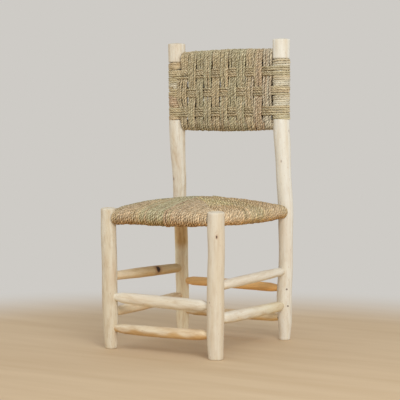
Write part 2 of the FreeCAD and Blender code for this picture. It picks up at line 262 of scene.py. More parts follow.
# Peeled wood. Its "place" is across, across and along the stick, in millimetres.
woodLooks = {
    "pale": (236, 230, 215),  # the freshly shaved wood
    "warm": (226, 214, 191),  # broad streaks along the stick
    "rosy": (218, 197, 170),  # where the inner bark is still on
    "line": (192, 165, 128),  # thin grain lines and smudges
    "honeyPale": (240, 198, 140), "honeyWarm": (230, 182, 120), "honeyLine": (160, 110, 64),
    "knotHeart": (52, 28, 16), "knotRing": (168, 116, 78),
    "rosyShare": 0.5, "honeyRosyShare": 0.1,  # how strongly each pattern shows
    "lineShare": 0.5, "smudgeShare": 0.42, "fleckShare": 0.5,
    "ring": (0.8, 2.1, 0.5),  # from where to where a knot's ring fades out, and how strong it is
    "heart": (0.55, 0.95, 0.95),
    "ragged": (0.6, 2.0, 0.9),  # the noise round a knot's edge, and how far it reaches
    "specular": 0.3, "bump": (0.35, 0.0006),
}
# How far each pattern is drawn out along the stick, its noise's scale, detail and roughness, and the
# noise's two values between which the pattern comes in
woodPatterns = {
    "broad": (0.05, 0.075, 2.0, 0.55, 0.35, 0.68),
    "patch": (0.25, 0.035, 2.0, 0.55, 0.52, 0.72),
    "fine": (0.02, 0.9, 3.0, 0.65, 0.56, 0.74),
    "smudge": (0.22, 0.11, 3.0, 0.6, 0.46, 0.70),
    "fleck": (0.3, 0.42, 2.0, 0.55, 0.66, 0.76),
    "scrape": (0.12, 0.25, 3.0, 0.55),
}
# Knots: X, Y, Z in millimetres, half their width and height, and how dark they are
knots = []


def woodFinish(name, pale, warm, line, rosyShare):
    # Two pale colours blended by the broad streaks, then towards each pattern's colour, times the tint,
    # with the knots over it
    looks = woodLooks
    sheet, place, tint, bold = ownSheet(name)
    noises = {key: sheet.pattern(place, *values[:4]) for key, values in woodPatterns.items()}

    def mask(key):
        # Where a pattern shows, 0 to 1
        return noises[key].within(*woodPatterns[key][4:])

    colour = sheet.blend(mask("broad"), rgba(pale), rgba(warm))
    for key, share, over in (("patch", rosyShare, looks["rosy"]), ("fine", looks["lineShare"], line),
                             ("smudge", looks["smudgeShare"], line)):
        colour = sheet.blend(mask(key) * share * bold, colour, rgba(over))
    colour = sheet.blend(mask("fleck") * looks["fleckShare"], colour, rgba(looks["knotRing"]))
    colour = sheet.blend(1.0, colour, tint, "MULTIPLY")
    here = sheet.here()
    for x, y, z, wide, high, dark in knots:
        offset = sheet.vector("SUBTRACT", here, (x * metre, y * metre, z * metre))
        shape = (1 / (wide * metre), 1 / (wide * metre), 1 / (high * metre))
        apart = sheet.vector("LENGTH", sheet.vector("MULTIPLY", offset, shape), (0, 0, 0), 1)
        scale, detail, reach = looks["ragged"]
        ragged = apart + (sheet.noise(place, scale, detail) - 0.5) * reach
        for key, over in (("ring", "knotRing"), ("heart", "knotHeart")):
            low, high, share = looks[key]
            colour = sheet.blend((1 - ragged.within(low, high)) * share * dark, colour, rgba(looks[over]))
    height = noises["fine"] * 0.5 + noises["scrape"] * 0.8
    specular = {"Specular IOR Level": looks["specular"]}
    return sheet.show(sheet.skin(colour, noises["fine"] * 0.2 + 0.5, (height, *looks["bump"]), specular))


# Twisted palm rope. Its "place" is the section's own two directions and the length walked, in millimetres.
ropeSizes = {
    "girth": 6.1,  # over both plies
    "valley": 0.11,  # how far the groove between the plies dips, as a share of half the girth
    "lay": 14.5,  # length of one full twist
    "step": 2.3,  # length of one section
    "around": 10,  # points round a section
    "unevenGirth": 0.07, "girthWaves": (31, 57, 13),
    "unevenPath": 0.35, "pathWaves": ((61, 23, 97), (47, 29, 83)),  # how the rope strays from its path
    "unevenLay": 1.1, "layWaves": (53, 71, 29),
    "unevenShade": 0.10, "shadeWaves": (180, 77, 41),
    "seedStride": 37.0,  # how far apart in the pattern two ropes begin, for each step of their seeds
}
ropeLooks = {
    "straw": (236, 214, 169),
    "dry": (230, 204, 159),
    "green": (213, 205, 163),
    "olive": (219, 203, 158),
    "gold": (238, 209, 155),
    "pink": (230, 200, 162),
    "pale": (244, 233, 202),
    "tan": (242, 214, 174),
    "fibreDark": (118, 94, 60),
    "fibreLight": (250, 240, 212),
    # Painted shade in the groove between the plies
    "grooveShade": 0.56,  # brightness left in the groove between the plies
    "roughness": 0.82, "specular": 0.15, "bump": (0.8, 0.0007),
}
# Each pattern's noise as for wood, and then its dark and its light part: the noise's two values between
# which it comes in, how strongly it shows, and whether the piece's boldness counts for it
ropePatterns = {
    "fibres": ((0.09, 1.5, 3.0, 0.7), (0.50, 0.33, 0.7, True), (0.54, 0.72, 0.7, False)),
    "tufts": ((0.45, 0.42, 2.0, 0.6), (0.47, 0.32, 0.5, True), (0.54, 0.68, 0.55, True)),
    "mottle": ((0.6, 0.17, 2.0, 0.6), (0.52, 0.34, 0.26, True), (0.54, 0.72, 0.38, True)),
}


def ropeFinish(name):
    # The tint, blended towards dark and light by each pattern, times a painted shade that deepens into the
    # groove between the plies
    looks = ropeLooks
    sheet, place, colour, bold = ownSheet(name)
    noises = {}
    for key, (noise, *parts) in ropePatterns.items():
        noises[key] = sheet.pattern(place, *noise)
        for (low, high, strength, bolder), over in zip(parts, ("fibreDark", "fibreLight")):
            share = noises[key].within(low, high) * strength
            colour = sheet.blend(share * bold if bolder else share, colour, rgba(looks[over]))
    section = sheet.vector("MULTIPLY", place, (1.0, 1.0, 0.0))
    half = ropeSizes["girth"] / 2
    reach = sheet.vector("LENGTH", section, (0, 0, 0), 1)
    # Painted shade, darker towards the groove between the plies
    shade = reach.within(half * (1 - 2 * ropeSizes["valley"]), half * 0.96)
    left = 1 - (1 - looks["grooveShade"]) * bold
    shade = shade * (1 - left) + left
    grey = sheet.node("ShaderNodeCombineColor", {}, {0: shade, 1: shade, 2: shade})
    colour = sheet.blend(1.0, colour, grey, "MULTIPLY")
    height = noises["fibres"] * 0.9 + noises["tufts"] * 0.5
    specular = {"Specular IOR Level": looks["specular"]}
    return sheet.show(sheet.skin(colour, looks["roughness"], (height, *looks["bump"]), specular))


def ropeTube(skin, path, side, shades, seed, look=(1.0, 1.0, 1.0, 1.0)):
    # A two-ply rope: sections stand square to the path, their radius is half the girth times
    # 1 less a dip that comes twice round, and they turn once in each lay. The shades are spread evenly
    # along it. The look, one or one for each point of the path, is three shares that the shades are
    # multiplied by and how boldly the pattern shows.
    sizes = ropeSizes
    walked = np.concatenate([[0], np.cumsum(np.linalg.norm(np.diff(path, axis=0), axis=1))])
    along = np.linspace(0, walked[-1], max(int(walked[-1] / sizes["step"]), 4) + 1)
    centre = readOff(along, walked, path)
    ahead = unit(np.gradient(centre, along, axis=0))
    beside = np.broadcast_to(np.asarray(side, float), centre.shape)
    beside = unit(beside - ahead * np.sum(beside * ahead, axis=1, keepdims=True))
    outward = np.cross(beside, ahead)
    for number, (way, waves) in enumerate(zip((beside, outward), sizes["pathWaves"])):
        centre = centre + way * (wander(along, waves, seed + number) * sizes["unevenPath"])[:, None]
    turned = np.random.default_rng(seed + 2).uniform(0, fullTurn) + fullTurn * along / sizes["lay"]
    turned = turned + sizes["unevenLay"] * wander(along, sizes["layWaves"], seed + 3)
    girth = sizes["girth"] / 2 * (1 + sizes["unevenGirth"] * wander(along, sizes["girthWaves"], seed + 4))
    own = anglesRound(sizes["around"])
    swell = 1 - sizes["valley"] * (1 - np.cos(2 * own))
    radius, angle = girth[:, None] * swell, turned[:, None] + own
    rings = ringsRound(centre, radius, angle, outward[:, None], beside[:, None])
    tints = readOff(along / along[-1], np.linspace(0, 1, len(shades)), shades)
    tints = tints * (1 + sizes["unevenShade"] * wander(along, sizes["shadeWaves"], seed + 5))[:, None]
    looks = readOff(along, walked, np.broadcast_to(look, (len(path), 4)))
    tints = np.column_stack([tints * looks[:, :3], looks[:, 3]])
    flat = sizes["girth"] / 2 * swell
    across = (flat * np.cos(own), flat * np.sin(own))
    skin.addTube(rings, across, along + seed * sizes["seedStride"], tints[:, None])


# The four poles: where each stands, and its stations from the foot up, as shares of its height and girth:
# height, thickness, and how far its middle strays to the right.
poleSizes = {
    "frontHeight": 320.0, "backHeight": 712.0, "shift": 7.0, "halfDepth": 155.0,
    "frontSpacing": 282.0, "backSpacing": 286.0,
    "easing": 0.035, "footShare": 0.06,  # how far stations are smoothed, and the foot where they aren't
    "around": 56, "every": 4.0,
    "rim": 2.8, "rimShare": 0.8,  # the cut ends are eased over this height, by a share of it
    "caps": (0.35, 0.7, 1.0),  # rings across a cut end, as shares of its radius
    "crown": 1.6, "ripple": 0.5,  # how far a top's middle stands above its rim, and unevenly so
    "slant": 0.09, "slantWay": 2.1, "slantRun": (9, 1),  # how steep the tops' cuts are, and which way
    "groove": (523.2, 665.4), "grooveEdge": 0.5,
    "sinking": {"back_post_left": 5.0, "back_post_right": 3.8},  # how deep posts are pared under the cord
    "unevenGirth": 0.010, "tiltWaves": (410, 260), "lobeWaves": (190, 120, 310), "lobeShares": (0.7, 0.5),
    "unevenLine": 0.5, "lineWaves": ((230, 140), (270, 150)), "lineRun": 60,
    "seeds": (10, 20), "seedStride": 13.0,
}
poleTables = {
    "front_leg_left": (-1, -1, 35.0, [
        (0, 0.77, 0.10), (0.035, 0.845, 0.08), (0.09, 0.90, 0.05), (0.20, 1.03, 0.05),
        (0.50, 0.995, 0.0), (0.80, 1.01, -0.06), (1, 0.97, -0.09)]),
    "front_leg_right": (1, -1, 38.0, [
        (0, 0.85, -0.04), (0.035, 0.90, -0.06), (0.09, 0.95, -0.08), (0.20, 0.985, -0.08), (0.30, 1.0, -0.07),
        (0.58, 0.97, -0.04), (0.75, 0.955, -0.04), (0.88, 0.995, -0.05), (1, 0.95, -0.04)]),
    "back_post_left": (-1, 1, 38.0, [
        (0, 0.73, 0.13), (0.02, 0.78, 0.13), (0.05, 0.84, 0.13), (0.20, 0.86, 0.08), (0.35, 0.85, 0.02),
        (0.48, 0.85, -0.11), (0.58, 0.92, -0.165), (0.70, 1.05, -0.275), (0.85, 1.10, -0.30),
        (1, 1.12, -0.315)]),
    "back_post_right": (1, 1, 38.0, [
        (0, 0.68, 0.10), (0.02, 0.72, 0.13), (0.05, 0.82, 0.15), (0.075, 0.88, 0.13), (0.13, 0.94, 0.09),
        (0.16, 0.95, 0.075), (0.20, 0.90, 0.125), (0.26, 0.88, 0.18), (0.31, 0.84, 0.20), (0.36, 0.89, 0.18),
        (0.46, 0.96, 0.13), (0.58, 0.94, -0.01), (0.65, 1.03, -0.09), (0.70, 1.01, -0.16), (0.85, 1.04, -0.18),
        (1, 1.09, -0.19)])}
# How each stick's colour differs from the pale wood, at shares of its length: three shares of light, and how
# boldly its grain shows. This is partly each stick's own tone and partly painted light and shade: painted
# shade under the seat on the left back post and the left upper rung, and painted light low on the left back
# post, at the front end of the left lower rung and all along the right back post
plainTint = [(0, (1.0, 1.0, 1.0, 1.0))]
stickToneAndShade = {
    "front_leg_left": [(0, (0.93, 0.92, 0.88, 1.2))],
    "front_leg_right": [(0, (0.92, 0.90, 0.87, 0.6))],
    # Painted light below 0.28 of its height, and from 0.31 to 0.40, under the seat, a darker and warmer
    # painted shade
    "back_post_left": [(0.28, (1.14, 1.14, 1.04, 1.2)), (0.31, (0.97, 0.79, 0.50, 2.0)),
                       (0.40, (0.97, 0.79, 0.50, 2.0)), (0.44, (1.0, 1.0, 1.0, 1.4))],
    # Lighter and cooler all along: painted light
    "back_post_right": [(0.2, (1.02, 1.06, 1.12, 0.9)), (0.45, (1.02, 1.06, 1.12, 0.5))],
    "rung_front_upper": [(0, (1.12, 1.14, 1.16, 0.8)), (0.5, (1.05, 1.07, 1.09, 0.9)),
                         (1, (1.0, 1.02, 1.04, 1.2))],
    "rung_front_lower": [(0, (0.97, 0.91, 0.81, 1.4)), (0.5, (1.01, 0.95, 0.85, 1.3)),
                         (1, (1.02, 0.89, 0.72, 1.3))],
    # Darker and warmer towards the back post: painted shade under the seat
    "rung_left_upper": [(0, (1.10, 1.04, 0.93, 1.0)), (0.3, (0.96, 0.82, 0.60, 1.0)),
                        (0.5, (0.90, 0.74, 0.49, 1.0)), (1, (0.80, 0.67, 0.43, 1.0))],
    # Lighter at the front end: painted light where the leg and the seat shade it
    "rung_left_lower": [(0, (1.15, 1.09, 0.96, 0.7)), (0.4, (1.10, 1.02, 0.88, 1.0)),
                        (0.7, (0.98, 0.88, 0.73, 1.4))],
    "rung_right_upper": [(0, (1.05, 1.06, 1.10, 0.9)), (1, (1.03, 1.05, 1.07, 0.9))],
    "rung_right_lower": [(0.3, (1.0, 1.0, 1.0, 1.0)), (0.8, (0.98, 0.96, 0.84, 1.0))],
    "rung_back_lower": [(0, (0.98, 0.90, 0.76, 1.0)), (0.6, (0.98, 0.88, 0.72, 1.0)),
                        (0.85, (1.15, 1.08, 0.90, 0.7))],
    "rung_back_upper": [(0, (1.10, 1.16, 1.18, 0.7)), (0.5, (1.08, 1.10, 1.04, 0.7)),
                        (1, (1.04, 1.03, 0.94, 0.7))],
    "back_rail": [(0, (0.90, 0.84, 0.74, 1.0))],
}
# What is left of each channel of light on the side of a rung that faces down, a darker and warmer painted
# shade,
# and where that side begins: 0 is level with the rung's middle, and 1 right under it
plainUndersideShade = (1.0, 0.93, 0.84, 0.0)
undersideShade = {
    "rung_front_upper": (0.97, 0.88, 0.72, 0.4), "rung_front_lower": (0.84, 0.67, 0.44, -0.30),
    "rung_right_upper": (0.98, 0.89, 0.74, 0.35), "rung_right_lower": (0.98, 0.90, 0.76, 0.2),
    "rung_back_lower": (0.90, 0.74, 0.50, -0.1),
}


def stopsAlong(name, share):
    # A stick's tint, its own tone with painted light and shade, at shares of its length, along straight lines
    # between its stops
    places, tints = zip(*stickToneAndShade.get(name, plainTint))
    return readOff(share, places, tints)


class Pole:
    # A pole's middle and radius at any height, eased between its stations
    def __init__(self, name):
        sizes = poleSizes
        right, back, girth, table = poleTables[name]
        self.name, self.girth = name, girth
        self.height = sizes["backHeight"] if back > 0 else sizes["frontHeight"]
        spacing = sizes["backSpacing"] if back > 0 else sizes["frontSpacing"]
        self.x = sizes["shift"] + right * spacing / 2
        self.y = back * sizes["halfDepth"]
        stations = np.array(table)
        self.levels, self.thick, self.stray = stations[:, 0] * self.height, stations[:, 1], stations[:, 2]
        self.seed = seedFor(sizes["seeds"], list(poleTables).index(name))

    def eased(self, level, values):
        # Straight lines between the stations, averaged over a short stretch either side
        easing = poleSizes["easing"]
        offsets = np.linspace(-easing, easing, 7) * self.height
        return np.mean([np.interp(level + offset, self.levels, values) for offset in offsets], axis=0)

    def middle(self, level):
        # The pole's own place, and how far its line strays from it to the right
        level = np.asarray(level, float)
        x = self.x + self.girth * self.eased(level, self.stray)
        return np.stack([x, np.full_like(x, self.y), level], axis=-1)

    def radius(self, level):
        # Half the girth times the stations' thickness, which is eased above the foot
        near = np.interp(level, self.levels, self.thick)
        foot = np.asarray(level) < poleSizes["footShare"] * self.height
        return self.girth / 2 * np.where(foot, near, self.eased(level, self.thick))

    def core(self, level):
        # The radius, less the groove that the cord is wound in
        (low, high), edge = poleSizes["groove"], poleSizes["grooveEdge"]
        pared = easeBetween(level, low - edge, low + edge) * (1 - easeBetween(level, high - edge, high + edge))
        return self.radius(level) - poleSizes["sinking"].get(self.name, 0.0) * pared


poles = {name: Pole(name) for name in poleTables}


def poleSkin(pole):
    # The surface of angle and height: radius times 1 plus a slow unevenness of two, five and nine lobes,
    # drawn in by the rim over the two cut ends
    sizes = poleSizes
    rim, edge, caps = sizes["rim"], sizes["grooveEdge"], sizes["caps"]
    rounding = rim * (1 - np.cos(np.linspace(0, np.pi / 2, 5)))
    inner = np.linspace(rim, pole.height - rim, int(pole.height / sizes["every"]))
    steps = np.concatenate([place + np.linspace(-edge, edge, 4) for place in sizes["groove"]])
    inner = np.union1d(inner, steps[steps < pole.height])
    level = np.concatenate([[0] * len(caps), rounding[:-1], inner, pole.height - rounding[::-1][1:],
                            [pole.height] * len(caps)])
    drawn = np.concatenate([caps, np.ones(len(level) - 2 * len(caps)), caps[::-1]])
    own = anglesRound(sizes["around"])
    ends = np.minimum(level, pole.height - level)
    eased = rim - np.sqrt(np.maximum(rim ** 2 - (rim - np.minimum(ends, rim)) ** 2, 0))
    radius = (pole.core(level) - eased * sizes["rimShare"]) * drawn
    tilt = wander(level, sizes["tiltWaves"], pole.seed)[:, None]
    lobes = wander(level, sizes["lobeWaves"], pole.seed + 1)[:, None]
    five, nine = sizes["lobeShares"]
    uneven = (np.cos(2 * own + 2 * tilt) + five * np.cos(5 * own + 3 * tilt) * lobes
              + nine * np.cos(9 * own + 4 * lobes))
    full = radius[:, None] * (1 + sizes["unevenGirth"] * uneven)
    middle = pole.middle(level)
    stray = sizes["unevenLine"] * easeBetween(ends, 0, sizes["lineRun"])
    for axis, waves in enumerate(sizes["lineWaves"]):
        middle[:, axis] += stray * wander(level, waves, pole.seed + 2 + axis)
    rings = ringsRound(middle, full, own, (1, 0, 0), (0, 1, 0))
    drawn = drawn[:, None]
    dish = (1 - drawn) * (sizes["crown"] * (1 + drawn) + sizes["ripple"] * np.sin(own + pole.seed))
    rings[..., 2] += np.where(level[:, None] > pole.height / 2, dish, 0)
    slope = sizes["slant"] * easeBetween(level, *[pole.height - run for run in sizes["slantRun"]])
    rings[..., 2] += slope[:, None] * full * np.cos(own - sizes["slantWay"])
    shift = pole.seed * sizes["seedStride"]
    skin = Skin()
    across = (full * np.cos(own) + shift, full * np.sin(own) - shift)
    skin.addTube(rings, across, level, stopsAlong(pole.name, level / pole.height)[:, None])
    return skin


# Knots on the poles: height, the side that they face in degrees, half their width and height, and how
# dark they are
poleKnots = [
    ("front_leg_right", 267.5, -55, 2.0, 3.6, 1.0),
    ("back_post_left", 377.0, -114, 1.8, 5.0, 1.0),
    ("back_post_right", 424.5, -77, 1.9, 2.6, 0.45),
    ("back_post_right", 495.5, 0, 2.2, 3.4, 0.30),
    ("front_leg_right", 125.5, -105, 1.3, 1.8, 0.5),
    ("back_post_right", 560.0, 130, 2.6, 3.6, 0.8),
    ("back_post_left", 250.0, 60, 2.2, 3.0, 0.8),
]
for name, level, facing, *shape in poleKnots:
    way, reach = np.radians(facing), float(poles[name].radius(level))
    x, y, z = poles[name].middle(level)
    knots.append((x + reach * np.cos(way), y + reach * np.sin(way), z, *shape))

# Rungs and rails: poles, heights, girths at the start, the middle and the end, and how far their middles
# bow sideways and up
rungSizes = {
    "tenonGirth": 15.5, "inside": 9.0,  # what goes into a pole, and how far the scene has it go in
    "around": 36, "every": 3.0,
    "whittled": 17.0, "whittledFrom": -3.0,  # the stretch over which an end is pared to the tenon
    "unevenWhittled": 0.25, "whittledWaves": (90, 55),
    "longWhittled": {"rung_front_upper": 30.0},  # where the end on the right is whittled further
    "flats": 7, "flatDepth": 0.030, "flatMiddle": 0.64,
    "flatRun": (8, 38), "flatLoss": 0.72,  # the flats get weaker between these distances from an end
    "lobes": ((2, 0.012, (220, 90), 2), (5, 0.010, (160, 70), 3)),  # how many, how deep, their drift
    # How softly the painted shade on a rung's underside comes in, and how far its edge sways
    "underShadeFade": 0.8, "underShadeSway": 0.3,
    "seeds": (3, 5), "seedStride": 29.0,
}
rungTable = {
    "rung_front_upper": ("front_leg_left", 118.7, "front_leg_right", 114.6, (22.7, 27.9, 24.2), (0.3, -1.3)),
    "rung_front_lower": ("front_leg_left", 47.0, "front_leg_right", 51.5, (20.9, 24.2, 22.4), (1.5, -1.8)),
    "rung_right_upper": ("front_leg_right", 158.4, "back_post_right", 164.8, (20.9, 22.4, 20.0), (0.7, -0.2)),
    "rung_right_lower": ("front_leg_right", 86.7, "back_post_right", 82.2, (24.2, 26.2, 23.0), (-1.2, -0.9)),
    "rung_left_upper": ("front_leg_left", 164.2, "back_post_left", 156.8, (20.0, 24.2, 22.0), (-1.3, 0.3)),
    "rung_left_lower": ("front_leg_left", 81.6, "back_post_left", 88.0, (20.9, 24.0, 20.9), (0.4, -1.3)),
    "rung_back_upper": ("back_post_left", 124.8, "back_post_right", 122.2, (20.9, 22.4, 20.9), (1.6, 1.2)),
    "rung_back_lower": ("back_post_left", 50.6, "back_post_right", 52.5, (20.0, 22.0, 20.0), (0.5, -0.4)),
}
railSizes = {
    "topHeight": 672.0, "bottomHeight": 516.5, "girths": (24.5, 31.0, 24.5), "neckRun": 7.0,
    "seeds": {"top": 61, "bottom": 67},
}


def rungSkin(name, startPole, startHeight, endPole, endHeight, girths, bows, seed, neck=0.0):
    # The surface of angle and length: a parabola from end girth to middle girth to end girth, pared to
    # the tenon's girth at both ends, with whittled flats there, a slight bow and a painted shade underneath
    sizes = rungSizes
    start, end = startPole.middle(startHeight), endPole.middle(endHeight)
    length = float(np.linalg.norm(end - start))
    ahead = (end - start) / length
    startFace, endFace = float(startPole.radius(startHeight)), float(endPole.radius(endHeight))
    along = np.linspace(startFace - sizes["inside"], length - endFace + sizes["inside"],
                        int(length / sizes["every"]))
    share = (along - startFace) / (length - startFace - endFace)
    bow = np.clip(4 * share * (1 - share), 0, 1)
    straight = np.interp(share, [0, 1], [girths[0], girths[2]])
    body = straight + (girths[1] - (girths[0] + girths[2]) / 2) * bow
    near = np.minimum(along - startFace, length - endFace - along) - neck
    sway = wander(along, sizes["whittledWaves"], seed)
    whittled = np.where(share > 0.5, sizes["longWhittled"].get(name, sizes["whittled"]), sizes["whittled"])
    whittled = whittled * (1 + sizes["unevenWhittled"] * np.sign(share - 0.5) * sway)
    pared = easeBetween(near, sizes["whittledFrom"], whittled)
    girth = sizes["tenonGirth"] + (body - sizes["tenonGirth"]) * pared
    across = unit(np.cross([0, 0, 1.0], ahead))
    upward = np.cross(ahead, across)
    own = anglesRound(sizes["around"])
    corner = np.abs(np.cos(sizes["flats"] / 2 * own + seed)) - sizes["flatMiddle"]
    uneven = 1 - easeBetween(near[:, None], *sizes["flatRun"]) * sizes["flatLoss"]
    uneven = 1 + sizes["flatDepth"] * uneven * corner
    for number, (count, deep, waves, drift) in enumerate(sizes["lobes"]):
        drifting = wander(along, waves, seed + 1 + number)[:, None] * drift
        uneven = uneven + deep * np.cos(count * own + drifting)
    radius = girth[:, None] / 2 * uneven
    middle = start + ahead * along[:, None] + (across * bows[0] + upward * bows[1]) * bow[:, None]
    # Painted shade on the side that faces down: darker and warmer there
    *left, begins = undersideShade.get(name, plainUndersideShade)
    under = -np.sin(own + sizes["underShadeSway"] * sway[:, None])
    lower = easeBetween(under, begins, begins + sizes["underShadeFade"])[..., None]
    underShade = 1 - (1 - np.array([*left, 1.0])) * lower
    skin = Skin()
    shift = seed * sizes["seedStride"]
    places = (radius * np.cos(own) + shift, radius * np.sin(own) + shift)
    rings = ringsRound(middle, radius, own, across, upward)
    skin.addTube(rings, places, along, stopsAlong(name, share)[:, None] * underShade)
    return skin


# A dark knot on a rung, its black heart partly the knot's own colour and partly painted shadow of a broken
# twig stub: how far along it, how far aside and above its line, and the knot's own numbers
rungKnot = {"rung": "rung_left_upper", "share": 0.595, "offset": (10.8, 0.0, 4.6), "shape": (9.5, 9.0, 1.5)}
startName, startHeight, endName, endHeight = rungTable[rungKnot["rung"]][:4]
start, end = poles[startName].middle(startHeight), poles[endName].middle(endHeight)
knots.append((*(start + (end - start) * rungKnot["share"] + rungKnot["offset"]), *rungKnot["shape"]))

paleWood, honeyWood = (woodFinish(name, *[woodLooks[key] for key in keys]) for name, keys in (
    ("pale peeled wood", ("pale", "warm", "line", "rosyShare")),
    ("honey coloured wood", ("honeyPale", "honeyWarm", "honeyLine", "honeyRosyShare"))))
palmRope = ropeFinish("twisted palm rope")

for name, pole in poles.items():
    poleSkin(pole).piece(name + "_shaved", paleWood, "pale_wood", name)
for count, (name, (startName, startHeight, endName, endHeight, *shape)) in enumerate(rungTable.items()):
    finish, slot = (honeyWood, "honey_wood") if name == "rung_back_upper" else (paleWood, "pale_wood")
    skin = rungSkin(name, poles[startName], startHeight, poles[endName], endHeight, *shape,
                    seedFor(rungSizes["seeds"], count))
    skin.piece(name + "_whittled", finish, slot, name)
for end, seed in railSizes["seeds"].items():
    name, level = "back_rail_" + end, railSizes[end + "Height"]
    skin = rungSkin("back_rail", poles["back_post_left"], level, poles["back_post_right"], level,
                    railSizes["girths"], (0.0, 0.0), seed, railSizes["neckRun"])
    skin.piece(name + "_whittled", paleWood, "pale_wood", name)
print("wood done")


# The seat: strands of rope in four fields that meet on the mitres, each strand up over its rail,
# round it and back underneath.
halfTurn = np.linspace(0, np.pi, 24)[1:-1]
seatSizes = {
    "frontRail": 303.0, "sideRail": 305.0,
    "slim": 16.0, "bulge": 3.0,  # outer radius of the cord round a rail, and its extra at the middle
    "proud": 0.4,  # how far the strands stand out of that
    "crown": 20.0, "belly": 1.0,
    "cornerDrop": 4.5,  # how far the strands beside the left front leg sink
    "dropRun": (-2, 50),  # and between which distances from the first strand that fades
    "pitch": 5.55, "legRoom": 19.8,  # from a leg's middle to the first strand
    "tuck": 7.0, "dive": 9.0,  # how far a strand's end goes on under the next field, and down
    "early": 3.0,  # how far before the mitre it begins to go down
    "points": 40, "bend": 50,  # points of a run, and the point at which its slant changes
    "unevenRise": 0.55, "unevenSlant": 0.004, "unevenBand": 0.05,
    "unevenShade": {"front": 0.08, "right": 0.10, "back": 0.13, "left": 0.10},
    "overhang": 43.0, "waning": 3.05,  # how the fullness falls off towards a rail's ends
    "seeds": (1000, 400, 6),  # the first, and the steps to the next field and strand
}
# Three shares of light and how boldly the pattern shows, and the heights above a rail between which
# each of them comes in: a painted highlight beside the rail, a painted shade under it, and a warmer and a
# greener top
seatLooks = {
    # Painted highlight: the share away from the rail, and what is added beside it
    "bright": (0.94, 0.24), "brightRun": (4, 24),  # away from the rail, and what is added beside it
    # Painted shade under the rail: the shares left there, darker and warmer
    "shadeUnder": (0.88, 0.66, 0.38, 1.0), "underRun": (0, 13),
    "warmTop": {"right": (1.02, 0.925, 0.79, 1.25), "back": (1.04, 1.02, 1.0, 1.2)}, "topRun": (9, 20),
    "greenTop": (1.06, 1.12, 0.93, 1.1), "greenRun": (21, 25),
    "greenShares": (0.34, 0.48),  # and where along the right field it ends
}
seatBands = {
    "front": [(0, "dry"), (0.14, "pink"), (0.32, "dry"), (0.40, "olive"), (0.48, "green"), (0.56, "olive"),
              (0.64, "pink"), (0.85, "tan"), (1, "tan")],
    "right": [(0, "tan"), (0.30, "tan"), (0.42, "olive"), (0.52, "olive"), (0.60, "dry"), (0.85, "pink"),
              (1, "dry")],
    "back": [(0, "green"), (0.16, "gold"), (0.40, "tan"), (0.52, "gold"), (0.62, "green"), (0.72, "olive"),
             (0.82, "gold"), (1, "gold")],
    "left": [(0, "dry"), (0.24, "olive"), (0.42, "green"), (0.70, "green"), (0.84, "straw"), (1, "dry")],
}
# Which way each field's strands lie beside each other
seatSides = {"front": (1, 0, 0), "right": (0, 1, 0), "back": (-1, 0, 0), "left": (0, -1, 0)}


def bandColour(bands, share):
    # The rope's colour at a share of the way through bands of named colours, blended between them
    places, names = zip(*bands)
    return readOff(share, places, [toLinear(ropeLooks[name]) for name in names])


corners = {name: pole.middle(seatSizes["frontRail"])[:2] for name, pole in poles.items()}
seatWidth = float(corners["front_leg_right"][0] - corners["front_leg_left"][0])
seatDepth = 2 * poleSizes["halfDepth"]


def seatPlan(across, deep):
    # A place on the seat, blended between its four corners by the shares of its width and depth
    u, v = (across / seatWidth)[:, None], (deep / seatDepth)[:, None]
    front = corners["front_leg_left"] * (1 - u) + corners["front_leg_right"] * u
    back = corners["back_post_left"] * (1 - u) + corners["back_post_right"] * u
    return front * (1 - v) + back * v


def seatStrand(field, place, seed):
    # Top run: up a parabola from the rail to the mitre, and down under it; rail: a half circle;
    # underside: a shallow parabola back to the mitre
    sizes, room = seatSizes, seatSizes["legRoom"]
    endwise = field in ("front", "back")
    run, span = (seatWidth, seatDepth) if endwise else (seatDepth, seatWidth)
    reach = min(place, run - place, span / 2)
    fullness = 1 - sizes["waning"] * ((place - run / 2) / (run / 2 + sizes["overhang"])) ** 2
    radius = sizes["slim"] + sizes["bulge"] * fullness - ropeSizes["girth"] / 2 + sizes["proud"]
    radius += sizes["unevenRise"] * np.random.default_rng(seed).normal()
    rail = sizes["frontRail"] if endwise else sizes["sideRail"]
    meet = (sizes["frontRail"] + sizes["sideRail"]) / 2 - rail
    if field in ("front", "left"):
        rail -= sizes["cornerDrop"] * (1 - easeBetween(place, *[room + far for far in sizes["dropRun"]]))
    top = np.linspace(reach + sizes["tuck"], 0, sizes["points"])
    past = np.clip((top - reach + sizes["early"]) / (sizes["tuck"] + sizes["early"]), 0, 1)
    settle = meet * easeBetween(top, 0, max(reach, 1))
    arch = 1 - ((top - span / 2) / (span / 2)) ** 2
    over = radius + sizes["crown"] * arch + settle - sizes["dive"] * past ** 2
    under = (-radius - sizes["belly"] * arch + settle + sizes["dive"] * past ** 2)[::-1]
    deep = np.concatenate([top, -radius * np.sin(halfTurn), top[::-1]])
    height = rail + np.concatenate([over, radius * np.cos(halfTurn), under])
    slants = np.random.default_rng(seed + 1).normal(0, sizes["unevenSlant"], 2)
    line = place + deep * np.where(np.arange(len(deep)) < sizes["bend"], *slants)
    inward = span - deep if field in ("back", "right") else deep
    plan = seatPlan(line, inward) if endwise else seatPlan(inward, line)
    return np.column_stack([plan, height]), rail


